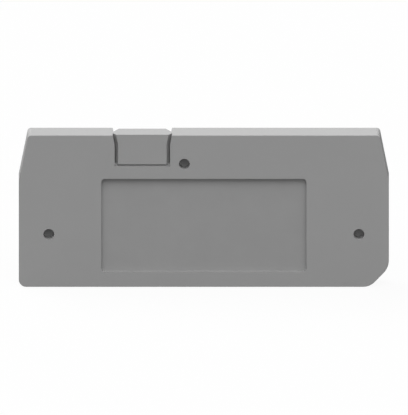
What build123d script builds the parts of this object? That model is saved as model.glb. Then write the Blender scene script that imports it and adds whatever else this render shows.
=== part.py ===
from build123d import *
import os

# Millimetres. X runs along the cover, the labelled front looks towards -Y and +Z is up.
# The origin is the middle of the foot edge. A depth is measured from the front face inwards.

# Plate
LENGTH = 72.0
HEIGHT = 30.4
THICKNESS = 6.2
SHOULDER_INSET = 1.8
SHOULDER_DROP = 9.1
SHOULDER_RADIUS = 1.5
TOP_RADIUS = 0.7
FOOT_RADIUS = 1.45
CUT_RUN = 3.68
CUT_RISE = 3.85
CUT_LOWER_RADIUS = 3.1
CUT_UPPER_RADIUS = 3.7
EDGE_RADIUS = 0.12

# Cored back
FRONT_WALL = 2.65
RIM_WALL = 1.4
RIB_WALL = 0.9
RIB_STEP = 0.5
POST_COUNT = 5
CORE_RADIUS = 0.4
CORE_DRAFT = 1.0

# Locating sockets in the front, and the pins behind them
SOCKET_BORE = 2.13
SOCKET_DEPTH = 2.3
SOCKET_FLOOR_RADIUS = 0.2
SOCKET_END = 5.84
SOCKET_RISE = 10.55
UPPER_SOCKET_X = -3.8
UPPER_SOCKET_DROP = 5.76
BOSS_WALL = 1.1
PIN_CLEARANCE = 0.08
PIN_END_GAP = 0.3
PIN_CHAMFER = 0.3

# Break-out tab in the top edge: it hangs on a web between a groove in front and one behind
TAB_X = -11.96
NOTCH_WIDTH = 10.77
NOTCH_DEPTH = 6.3
NOTCH_FLARE = 0.39
NOTCH_FLARE_HEIGHT = 1.95
NOTCH_FRONT_DRAFT = 0.5
NOTCH_BACK_DRAFT = 3.0
NOTCH_BACK_INSET = 0.16
WEB_DEPTH = 1.7
WEB_WALL = 1.42
FOOT_GROOVE_DEPTH = 1.0
TAB_FRONT_STEP = 0.5
TAB_BACK_STEP = 0.8
TAB_SIDE_BEVEL = 0.69
TAB_FOOT_BEVEL = 0.4
TAB_BACK_BEVEL = 1.06

# Recessed label field
LABEL_END = 16.03
LABEL_FOOT = 3.0
LABEL_TAB_GAP = 2.43
LABEL_DEPTH = 0.9
LABEL_RADIUS = 0.75

# How far a cutting solid reaches past the face that it opens
OVERRUN = 1.0

# Sizes that follow from the ones above
NOTCH_FOOT = HEIGHT - NOTCH_DEPTH
WEB_BACK = WEB_DEPTH + WEB_WALL
PIN_DIAMETER = SOCKET_BORE - PIN_CLEARANCE
PIN_LENGTH = SOCKET_DEPTH - PIN_END_GAP
BOSS_DIAMETER = SOCKET_BORE + 2 * BOSS_WALL
SOCKET_PLACES = [
    (SOCKET_END - LENGTH / 2, SOCKET_RISE),
    (LENGTH / 2 - SOCKET_END, SOCKET_RISE),
    (UPPER_SOCKET_X, HEIGHT - UPPER_SOCKET_DROP),
]


def at_depth(depth):
    """Plane parallel to the front at this depth, with its normal towards the front."""
    return Plane.XZ.offset(THICKNESS / 2 - depth)


def prism(sketch, start, end):
    """Straight block of a front-view sketch between two depths."""
    return extrude(at_depth(end) * sketch, end - start)


def discs(diameter):
    """Front view of a round at each socket place."""
    return [Pos(x, z) * Circle(diameter / 2) for x, z in SOCKET_PLACES]


def plate_outline():
    """Front view of the cover: sloping shoulders, one rounded foot and one cut corner."""
    half = LENGTH / 2
    corners = [
        ((-half, 0), FOOT_RADIUS),
        ((half - CUT_RUN, 0), CUT_LOWER_RADIUS),
        ((half, CUT_RISE), CUT_UPPER_RADIUS),
        ((half, HEIGHT - SHOULDER_DROP), SHOULDER_RADIUS),
        ((half - SHOULDER_INSET, HEIGHT), TOP_RADIUS),
        ((SHOULDER_INSET - half, HEIGHT), TOP_RADIUS),
        ((-half, HEIGHT - SHOULDER_DROP), SHOULDER_RADIUS),
    ]
    points, radii = zip(*corners)
    return make_face(FilletPolyline(*points, radius=radii, close=True))


def plate():
    """The full plate with its outer edges softened."""
    block = prism(plate_outline(), 0, THICKNESS)
    rims = block.faces().sort_by(Axis.Y)
    return fillet(rims[0].edges() + rims[-1].edges(), EDGE_RADIUS)


def ribs():
    """Front view of the bars and posts across the back, with a clear bay behind the tab."""
    bar_heights = [SOCKET_RISE, NOTCH_FOOT - RIB_WALL / 2]
    bars = [Pos(0, z) * Rectangle(LENGTH, RIB_WALL) for z in bar_heights]
    pitch = LENGTH / (POST_COUNT + 1)
    posts = [
        Pos((i + 1) * pitch - LENGTH / 2, HEIGHT / 2) * Rectangle(RIB_WALL, HEIGHT)
        for i in range(POST_COUNT)
    ]
    flank = NOTCH_WIDTH / 2 + NOTCH_FLARE + RIB_WALL
    middle = HEIGHT - NOTCH_DEPTH / 2
    bay = Pos(TAB_X, middle) * Rectangle(2 * flank, NOTCH_DEPTH)
    cheeks = [
        Pos(TAB_X + side * flank, middle) * Rectangle(RIB_WALL, NOTCH_DEPTH) for side in (-1, 1)
    ]
    return (Sketch() + bars + posts) - bay + cheeks


def cores():
    """What the mould's cores take out of the back between the rim, the ribs and the bosses."""
    outline = offset(offset(plate_outline(), -RIM_WALL - CORE_RADIUS), CORE_RADIUS)
    inner = outline - discs(BOSS_DIAMETER)
    rib_top = THICKNESS - RIB_STEP
    tray = prism(inner, rib_top, THICKNESS + OVERRUN)
    return tray + extrude(at_depth(rib_top) * (inner - ribs()), rib_top - FRONT_WALL, taper=CORE_DRAFT)


def notch_outline(side_gap=0.0, foot_gap=0.0, rise=0.0):
    """Front view of the tab's notch, drawn in at its sides and foot, and carried past the top."""
    half = NOTCH_WIDTH / 2 - side_gap
    foot = NOTCH_FOOT + foot_gap
    knee = HEIGHT - NOTCH_FLARE_HEIGHT
    flared = half + NOTCH_FLARE * (1 + rise / NOTCH_FLARE_HEIGHT)
    top = HEIGHT + rise
    points = [(-half, foot), (half, foot), (half, knee), (flared, top), (-flared, top), (-half, knee)]
    return Pos(TAB_X, 0) * make_face(Polyline(*points, close=True))


def notch():
    """The grooves' outer walls, open from the web towards each face. Behind, they only cut the rim."""
    front_outline = at_depth(WEB_DEPTH) * notch_outline(rise=OVERRUN)
    front = extrude(front_outline, WEB_DEPTH + OVERRUN, taper=-NOTCH_FRONT_DRAFT)
    back_outline = at_depth(WEB_BACK) * notch_outline(NOTCH_BACK_INSET, RIB_WALL, OVERRUN)
    back = extrude(back_outline, WEB_BACK - THICKNESS - OVERRUN, taper=-NOTCH_BACK_DRAFT)
    return front + back


def tab():
    """The break-out piece each side of the web, bevelled at its edges to make the grooves."""
    front = loft([
        at_depth(WEB_DEPTH) * notch_outline(),
        at_depth(TAB_FRONT_STEP) * notch_outline(TAB_SIDE_BEVEL, TAB_FOOT_BEVEL),
    ])
    back = loft([
        at_depth(WEB_BACK) * notch_outline(NOTCH_BACK_INSET, RIB_WALL),
        at_depth(THICKNESS - TAB_BACK_STEP) * notch_outline(NOTCH_BACK_INSET + TAB_BACK_BEVEL, RIB_WALL),
    ])
    strip = Pos(TAB_X, NOTCH_FOOT) * Rectangle(NOTCH_WIDTH + 2 * NOTCH_FLARE, 2 * TAB_FOOT_BEVEL)
    return front + back + prism(strip, FOOT_GROOVE_DEPTH, WEB_DEPTH)


def label_field():
    """The shallow rounded rectangle that takes a marking label."""
    width = LENGTH - 2 * LABEL_END
    height = NOTCH_FOOT - LABEL_TAB_GAP - LABEL_FOOT
    field = Pos(0, LABEL_FOOT + height / 2) * RectangleRounded(width, height, LABEL_RADIUS)
    return prism(field, -OVERRUN, LABEL_DEPTH)


def rods(diameter, start, end):
    """A round rod at each socket place, between two depths."""
    return [prism(disc, start, end) for disc in discs(diameter)]


def deep_edge(rod):
    """The rim of the rod's end that lies furthest from the front."""
    return rod.faces().sort_by(Axis.Y)[-1].edges()


def sockets():
    """Blind round holes in the front for the pins of the next cover, with rounded floors."""
    cutters = rods(SOCKET_BORE, -OVERRUN, SOCKET_DEPTH)
    return Part() + [fillet(deep_edge(rod), SOCKET_FLOOR_RADIUS) for rod in cutters]


def pins():
    """Locating pins on the back, in line with the sockets, with chamfered tips."""
    blanks = rods(PIN_DIAMETER, FRONT_WALL, THICKNESS + PIN_LENGTH)
    return Part() + [chamfer(deep_edge(rod), PIN_CHAMFER) for rod in blanks]


def end_cover():
    """The whole moulding as one solid."""
    blank = plate() - notch() + tab()
    return blank - cores() - label_field() - sockets() + pins()


os.makedirs("parts", exist_ok=True)
export_step(end_cover(), "parts/end_cover.step")
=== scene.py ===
import math

import bpy
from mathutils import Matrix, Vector


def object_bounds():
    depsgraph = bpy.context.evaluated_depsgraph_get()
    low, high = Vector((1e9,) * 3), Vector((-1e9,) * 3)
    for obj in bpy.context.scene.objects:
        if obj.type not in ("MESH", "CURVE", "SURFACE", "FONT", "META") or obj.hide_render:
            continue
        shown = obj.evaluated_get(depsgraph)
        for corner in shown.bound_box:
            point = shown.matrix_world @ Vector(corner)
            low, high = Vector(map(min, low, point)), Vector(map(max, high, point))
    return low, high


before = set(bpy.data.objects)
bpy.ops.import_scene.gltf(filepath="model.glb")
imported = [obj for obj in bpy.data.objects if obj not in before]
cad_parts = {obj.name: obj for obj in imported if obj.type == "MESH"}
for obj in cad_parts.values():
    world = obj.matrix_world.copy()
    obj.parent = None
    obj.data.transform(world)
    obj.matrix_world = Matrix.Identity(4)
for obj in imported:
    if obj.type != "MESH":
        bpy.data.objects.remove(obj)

bl_info = {
    "name": "Terminal block end cover",
    "version": (1, 0, 0),
    "blender": (4, 5, 0),
    "location": "View3D > Sidebar > End cover",
    "description": "Dresses a moulded end cover for terminal blocks and sets it in a plain studio",
    "category": "Object",
}

MM = 0.001
COVER_NODE = "end_cover"
PLASTIC_SLOT = "grey_moulding"
WHITE = (1.0, 1.0, 1.0, 1.0)

# The picture that the camera answers to, and where the cover's middle and front foot stand in it, in pixels.
PICTURE_WIDTH = 408
PICTURE_HEIGHT = 415
COVER_MIDDLE_X = 203.85
FRONT_FOOT_Y = 286.93
PIXELS_PER_MM = 5.14

CAD_LOW, CAD_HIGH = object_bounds()
FRONT_Y = CAD_LOW.y

# The recess in the front that takes a label, and the margin of the box that marks it out; inside the box the
# colour is darkened by painted shade.
FIELD_WIDTH = 39.94 * MM
FIELD_FOOT = 3.0 * MM
FIELD_TOP = 21.67 * MM
FIELD_DEPTH = 0.9 * MM
FIELD_MARGIN = 0.1 * MM

# How many layers of finer noise each pattern has.
PATCH_DETAIL = 3.0
ROUGHNESS_DETAIL = 4.0
GRAIN_DETAIL = 2.0

# Where each lamp stands: its turn from the front (left is negative), its height and its width, in degrees.
LAMPS = {
    "front_wide": (0, 50, 120),
    "front_high": (0, 55, 40),
    "front_low": (0, 10, 30),
    "back_left": (-135, 50, 50),
}


class Number:
    """A number socket: used in an expression, it adds the Math nodes that work it out."""

    def __init__(self, nodes, socket):
        self.nodes = nodes
        self.socket = socket

    def _maths(self, operation, first, second):
        node = self.nodes.add("ShaderNodeMath", {"operation": operation}, {0: first, 1: second})
        return Number(self.nodes, node.outputs["Value"])

    def __add__(self, other):
        return self._maths("ADD", self, other)

    def __radd__(self, other):
        return self._maths("ADD", other, self)

    def __sub__(self, other):
        return self._maths("SUBTRACT", self, other)

    def __rsub__(self, other):
        return self._maths("SUBTRACT", other, self)

    def __mul__(self, other):
        return self._maths("MULTIPLY", self, other)

    def __rmul__(self, other):
        return self._maths("MULTIPLY", other, self)

    def between(self, low, high):
        """1 where the number lies between two others, and 0 elsewhere."""
        return self._maths("GREATER_THAN", self, low) * self._maths("LESS_THAN", self, high)


class Nodes:
    """Adds nodes to one node tree."""

    def __init__(self, tree):
        self.tree = tree
        tree.nodes.clear()

    def add(self, kind, settings=None, sockets=None):
        """A node of a kind, with its settings first and then its sockets' values or links."""
        node = self.tree.nodes.new(kind)
        for name, value in (settings or {}).items():
            setattr(node, name, value)
        for name, value in (sockets or {}).items():
            if isinstance(value, Number):
                value = value.socket
            if isinstance(value, bpy.types.NodeSocket):
                self.tree.links.new(value, node.inputs[name])
            else:
                node.inputs[name].default_value = value
        return node

    def noise(self, place, size, detail):
        """Noise from 0 to 1 with features of about this size, in metres."""
        sockets = {"Vector": place, "Scale": 1 / size, "Detail": detail}
        return Number(self, self.add("ShaderNodeTexNoise", {}, sockets).outputs["Fac"])

    def patches(self, place, size, detail, spread):
        """Noise about zero, from half the spread below it to half the spread above."""
        return (self.noise(place, size, detail) - 0.5) * spread

    def mix_shaders(self, share, first, second):
        """A shader that is the first one at a share of 0 and the second one at 1."""
        return self.add("ShaderNodeMixShader", {}, {0: share, 1: first, 2: second}).outputs["Shader"]


class MouldingSettings(bpy.types.PropertyGroup):
    """The plastic and its surface as moulded, with painted shade in the label field"""

    colour: bpy.props.FloatVectorProperty(
        name="Colour", description="Colour of the plastic", subtype="COLOR", size=3,
        default=(0.31, 0.31, 0.31), min=0, max=1)
    mottle: bpy.props.FloatProperty(
        name="Mottle", description="Spread of the colour from patch to patch, as a share of it",
        subtype="FACTOR", default=0.04, min=0, max=1)
    mottle_size: bpy.props.FloatProperty(
        name="Mottle size", description="Width of the paler and darker patches",
        unit="LENGTH", default=6 * MM)
    # Painted shade: the share by which the label field's colour is darkened.
    field_painted_shade: bpy.props.FloatProperty(
        name="Field shade", description="Share by which the label field is darker",
        subtype="FACTOR", default=0.045, min=0, max=1)
    field_mottle: bpy.props.FloatProperty(
        name="Field mottle", description="Further spread of the colour in the label field, as a share of it",
        subtype="FACTOR", default=0.08, min=0, max=1)
    field_mottle_size: bpy.props.FloatProperty(
        name="Field mottle size", description="Width of the patches in the label field",
        unit="LENGTH", default=4 * MM)
    roughness: bpy.props.FloatProperty(
        name="Roughness", description="Middle roughness of the matt surface",
        subtype="FACTOR", default=0.7, min=0, max=1)
    roughness_spread: bpy.props.FloatProperty(
        name="Roughness spread", description="How far apart the smoothest and the roughest patches are",
        subtype="FACTOR", default=0.12, min=0, max=1)
    roughness_size: bpy.props.FloatProperty(
        name="Roughness size", description="Width of the smoother and rougher patches",
        unit="LENGTH", default=18 * MM)
    specular: bpy.props.FloatProperty(
        name="Specular", description="Strength of the reflection, where 0.5 is a plain plastic's",
        subtype="FACTOR", default=0.2, min=0, max=1)
    grain_size: bpy.props.FloatProperty(
        name="Grain size", description="Width of the mould's eroded grain",
        unit="LENGTH", default=0.22 * MM)
    grain_depth: bpy.props.FloatProperty(
        name="Grain depth", description="Depth of the mould's eroded grain",
        unit="LENGTH", default=0.005 * MM)


class StudioSettings(bpy.types.PropertyGroup):
    """The floor, the even sky and the strength of each lamp"""

    floor_size: bpy.props.FloatProperty(
        name="Floor size", description="Width of the floor", unit="LENGTH", default=8.0)
    floor_colour: bpy.props.FloatVectorProperty(
        name="Floor colour", description="Colour that the floor sheds on the cover",
        subtype="COLOR", size=3, default=(0.12, 0.12, 0.12), min=0, max=1)
    floor_seen: bpy.props.FloatVectorProperty(
        name="Floor as seen", description="Colour of the share of the seen floor that takes shadows",
        subtype="COLOR", size=3, default=(0.55, 0.55, 0.55), min=0, max=1)
    floor_glow: bpy.props.FloatProperty(
        name="Floor glow", description="Share of the seen floor that no shadow darkens",
        subtype="FACTOR", default=0.94, min=0, max=1)
    sky: bpy.props.FloatProperty(
        name="Sky", description="Strength of the even light from all round", default=0.1)
    front_wide: bpy.props.FloatProperty(
        name="Front wide", description="Strength of the wide lamp above the camera", default=1.7)
    front_high: bpy.props.FloatProperty(
        name="Front high", description="Strength of the narrower lamp high above the camera", default=1.5)
    front_low: bpy.props.FloatProperty(
        name="Front low", description="Strength of the lamp just below the camera", default=0.2)
    back_left: bpy.props.FloatProperty(
        name="Back left", description="Strength of the lamp high behind the left end", default=2.9)


class CameraSettings(bpy.types.PropertyGroup):
    """Where the camera stands"""

    elevation: bpy.props.FloatProperty(
        name="Elevation", description="Angle of the view above the horizon",
        subtype="ANGLE", default=math.radians(14.1))
    distance: bpy.props.FloatProperty(
        name="Distance", description="How far the camera stands back", unit="LENGTH", default=0.5)


def label_field(nodes, place):
    """1 in the label field and 0 on the rest of the cover; there the colour gets painted shade and a further
    mottle.

    The box is a margin larger than the recess, but starts a margin behind the front face.
    """
    side = FIELD_WIDTH / 2 + FIELD_MARGIN
    limits = (
        (-side, side),
        (FRONT_Y + FIELD_MARGIN, FRONT_Y + FIELD_DEPTH + FIELD_MARGIN),
        (FIELD_FOOT - FIELD_MARGIN, FIELD_TOP + FIELD_MARGIN),
    )
    axes = nodes.add("ShaderNodeSeparateXYZ", {}, {"Vector": place}).outputs
    along, deep, up = (Number(nodes, axis).between(*pair) for axis, pair in zip(axes, limits))
    return along * deep * up


def moulded_plastic(settings):
    """Matt grey plastic: fine eroded grain, a faint mottle, painted shade that darkens the label field, and
    varying roughness.
    """
    material = bpy.data.materials.new(PLASTIC_SLOT)
    material.use_nodes = True
    nodes = Nodes(material.node_tree)
    place = nodes.add("ShaderNodeTexCoord").outputs["Object"]
    mottle = nodes.patches(place, settings.mottle_size, PATCH_DETAIL, settings.mottle)
    field_mottle = nodes.patches(place, settings.field_mottle_size, PATCH_DETAIL, settings.field_mottle)
    # Inside the label field the colour is darkened by painted shade and given a further mottle.
    shade = 1 + mottle + label_field(nodes, place) * (field_mottle - settings.field_painted_shade)
    colour = nodes.add("ShaderNodeVectorMath", {"operation": "SCALE"}, {
        0: tuple(settings.colour), "Scale": shade})
    roughness = settings.roughness + nodes.patches(
        place, settings.roughness_size, ROUGHNESS_DETAIL, settings.roughness_spread)
    grain = nodes.noise(place, settings.grain_size, GRAIN_DETAIL)
    bump = nodes.add("ShaderNodeBump", {}, {"Distance": settings.grain_depth, "Height": grain})
    shader = nodes.add("ShaderNodeBsdfPrincipled", {}, {
        "Base Color": colour.outputs["Vector"],
        "Roughness": roughness,
        "Specular IOR Level": settings.specular,
        "Normal": bump.outputs["Normal"],
    })
    nodes.add("ShaderNodeOutputMaterial", {}, {"Surface": shader.outputs["BSDF"]})
    return material


def seeing_rays(nodes):
    """1 for rays that the camera sends, straight or by way of a shiny or a clear surface."""
    path = nodes.add("ShaderNodeLightPath")
    kinds = ("Is Camera Ray", "Is Glossy Ray", "Is Transmission Ray")
    straight, shiny, clear = (Number(nodes, path.outputs[kind]) for kind in kinds)
    return straight + shiny + clear


def floor_material(settings):
    """Plain floor: it sheds one colour on the cover and looks white, with a light shadow."""
    material = bpy.data.materials.new("floor")
    material.use_nodes = True
    nodes = Nodes(material.node_tree)
    shed, lit = (
        nodes.add("ShaderNodeBsdfDiffuse", {}, {"Color": (*colour, 1.0)}).outputs["BSDF"]
        for colour in (settings.floor_colour, settings.floor_seen)
    )
    glow = nodes.add("ShaderNodeEmission", {}, {"Color": WHITE, "Strength": 1.0}).outputs["Emission"]
    seen = nodes.mix_shaders(settings.floor_glow, lit, glow)
    surface = nodes.mix_shaders(seeing_rays(nodes), shed, seen)
    nodes.add("ShaderNodeOutputMaterial", {}, {"Surface": surface})
    return material


def build_world(settings):
    """An even sky that looks white to the camera and in reflections."""
    world = bpy.data.worlds.new("studio")
    world.use_nodes = True
    nodes = Nodes(world.node_tree)
    shed, seen = (
        nodes.add("ShaderNodeBackground", {}, {"Color": WHITE, "Strength": strength}).outputs["Background"]
        for strength in (settings.sky, 1.0)
    )
    surface = nodes.mix_shaders(seeing_rays(nodes), shed, seen)
    nodes.add("ShaderNodeOutputWorld", {}, {"Surface": surface})
    bpy.context.scene.world = world


def direction(turn, height):
    """The way to a lamp: a turn from the front and a height above the horizon, in degrees."""
    turn, height = math.radians(turn), math.radians(height)
    level = math.cos(height)
    return Vector((math.sin(turn) * level, -math.cos(turn) * level, math.sin(height)))


def add_lamp(name, towards, strength, spread):
    """A distant soft lamp that shines from a direction; spread is its width in degrees."""
    lamp = bpy.data.lights.new(name, "SUN")
    lamp.energy = strength
    lamp.angle = math.radians(spread)
    holder = bpy.data.objects.new(name, lamp)
    holder.rotation_mode = "QUATERNION"
    holder.rotation_quaternion = towards.to_track_quat("Z", "Y")
    bpy.context.scene.collection.objects.link(holder)


class COVER_OT_dress_cover(bpy.types.Operator):
    """Give the moulded cover its plastic"""

    bl_idname = "end_cover.dress_cover"
    bl_label = "Dress the cover"

    def execute(self, context):
        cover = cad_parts[COVER_NODE]
        cover.data.materials.clear()
        cover.data.materials.append(moulded_plastic(context.scene.moulding_settings))
        return {"FINISHED"}


class COVER_OT_build_studio(bpy.types.Operator):
    """Lay the floor and hang the lamps"""

    bl_idname = "end_cover.build_studio"
    bl_label = "Build the studio"

    def execute(self, context):
        settings = context.scene.studio_settings
        half = settings.floor_size / 2
        mesh = bpy.data.meshes.new("floor")
        corners = [(-half, -half, 0), (half, -half, 0), (half, half, 0), (-half, half, 0)]
        mesh.from_pydata(corners, [], [(0, 1, 2, 3)])
        mesh.materials.append(floor_material(settings))
        floor = bpy.data.objects.new("floor", mesh)
        context.scene.collection.objects.link(floor)
        build_world(settings)
        for name, (turn, height, spread) in LAMPS.items():
            add_lamp(name, direction(turn, height), getattr(settings, name), spread)
        context.scene.view_settings.view_transform = "Standard"
        return {"FINISHED"}


class COVER_OT_aim_camera(bpy.types.Operator):
    """Stand the camera where the picture was taken"""

    bl_idname = "end_cover.aim_camera"
    bl_label = "Aim the camera"

    def execute(self, context):
        settings = context.scene.camera_settings
        sine, cosine = math.sin(settings.elevation), math.cos(settings.elevation)
        pixel = MM / PIXELS_PER_MM
        data = bpy.data.cameras.new("camera")
        data.type = "ORTHO"
        data.ortho_scale = max(PICTURE_WIDTH, PICTURE_HEIGHT) * pixel
        # The point in the plane of the cover's front that shows in the middle of the picture.
        target = Vector((
            (PICTURE_WIDTH / 2 - COVER_MIDDLE_X) * pixel,
            FRONT_Y,
            (FRONT_FOOT_Y - PICTURE_HEIGHT / 2) * pixel / cosine,
        ))
        camera = bpy.data.objects.new("camera", data)
        camera.location = target + settings.distance * Vector((0, -cosine, sine))
        camera.rotation_euler = (math.pi / 2 - settings.elevation, 0, 0)
        context.scene.collection.objects.link(camera)
        context.scene.camera = camera
        return {"FINISHED"}


OPERATORS = (COVER_OT_dress_cover, COVER_OT_build_studio, COVER_OT_aim_camera)


class COVER_PT_panel(bpy.types.Panel):
    """Lists the steps that dress the cover and set it in its studio"""

    bl_idname = "COVER_PT_panel"
    bl_label = "End cover"
    bl_space_type = "VIEW_3D"
    bl_region_type = "UI"
    bl_category = "End cover"

    def draw(self, context):
        for operator in OPERATORS:
            self.layout.operator(operator.bl_idname)


SETTINGS = {
    "moulding_settings": MouldingSettings,
    "studio_settings": StudioSettings,
    "camera_settings": CameraSettings,
}
CLASSES = (*SETTINGS.values(), *OPERATORS, COVER_PT_panel)


def register():
    """Make the classes known and give each scene its settings."""
    for kind in CLASSES:
        bpy.utils.register_class(kind)
    for name, group in SETTINGS.items():
        setattr(bpy.types.Scene, name, bpy.props.PointerProperty(type=group))


def unregister():
    """Take away what register added, in the opposite order."""
    for name in SETTINGS:
        delattr(bpy.types.Scene, name)
    for kind in reversed(CLASSES):
        bpy.utils.unregister_class(kind)


def main():
    """Dress the cover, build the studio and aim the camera."""
    register()
    bpy.ops.end_cover.dress_cover()
    bpy.ops.end_cover.build_studio()
    bpy.ops.end_cover.aim_camera()


if __name__ == "__main__":
    main()
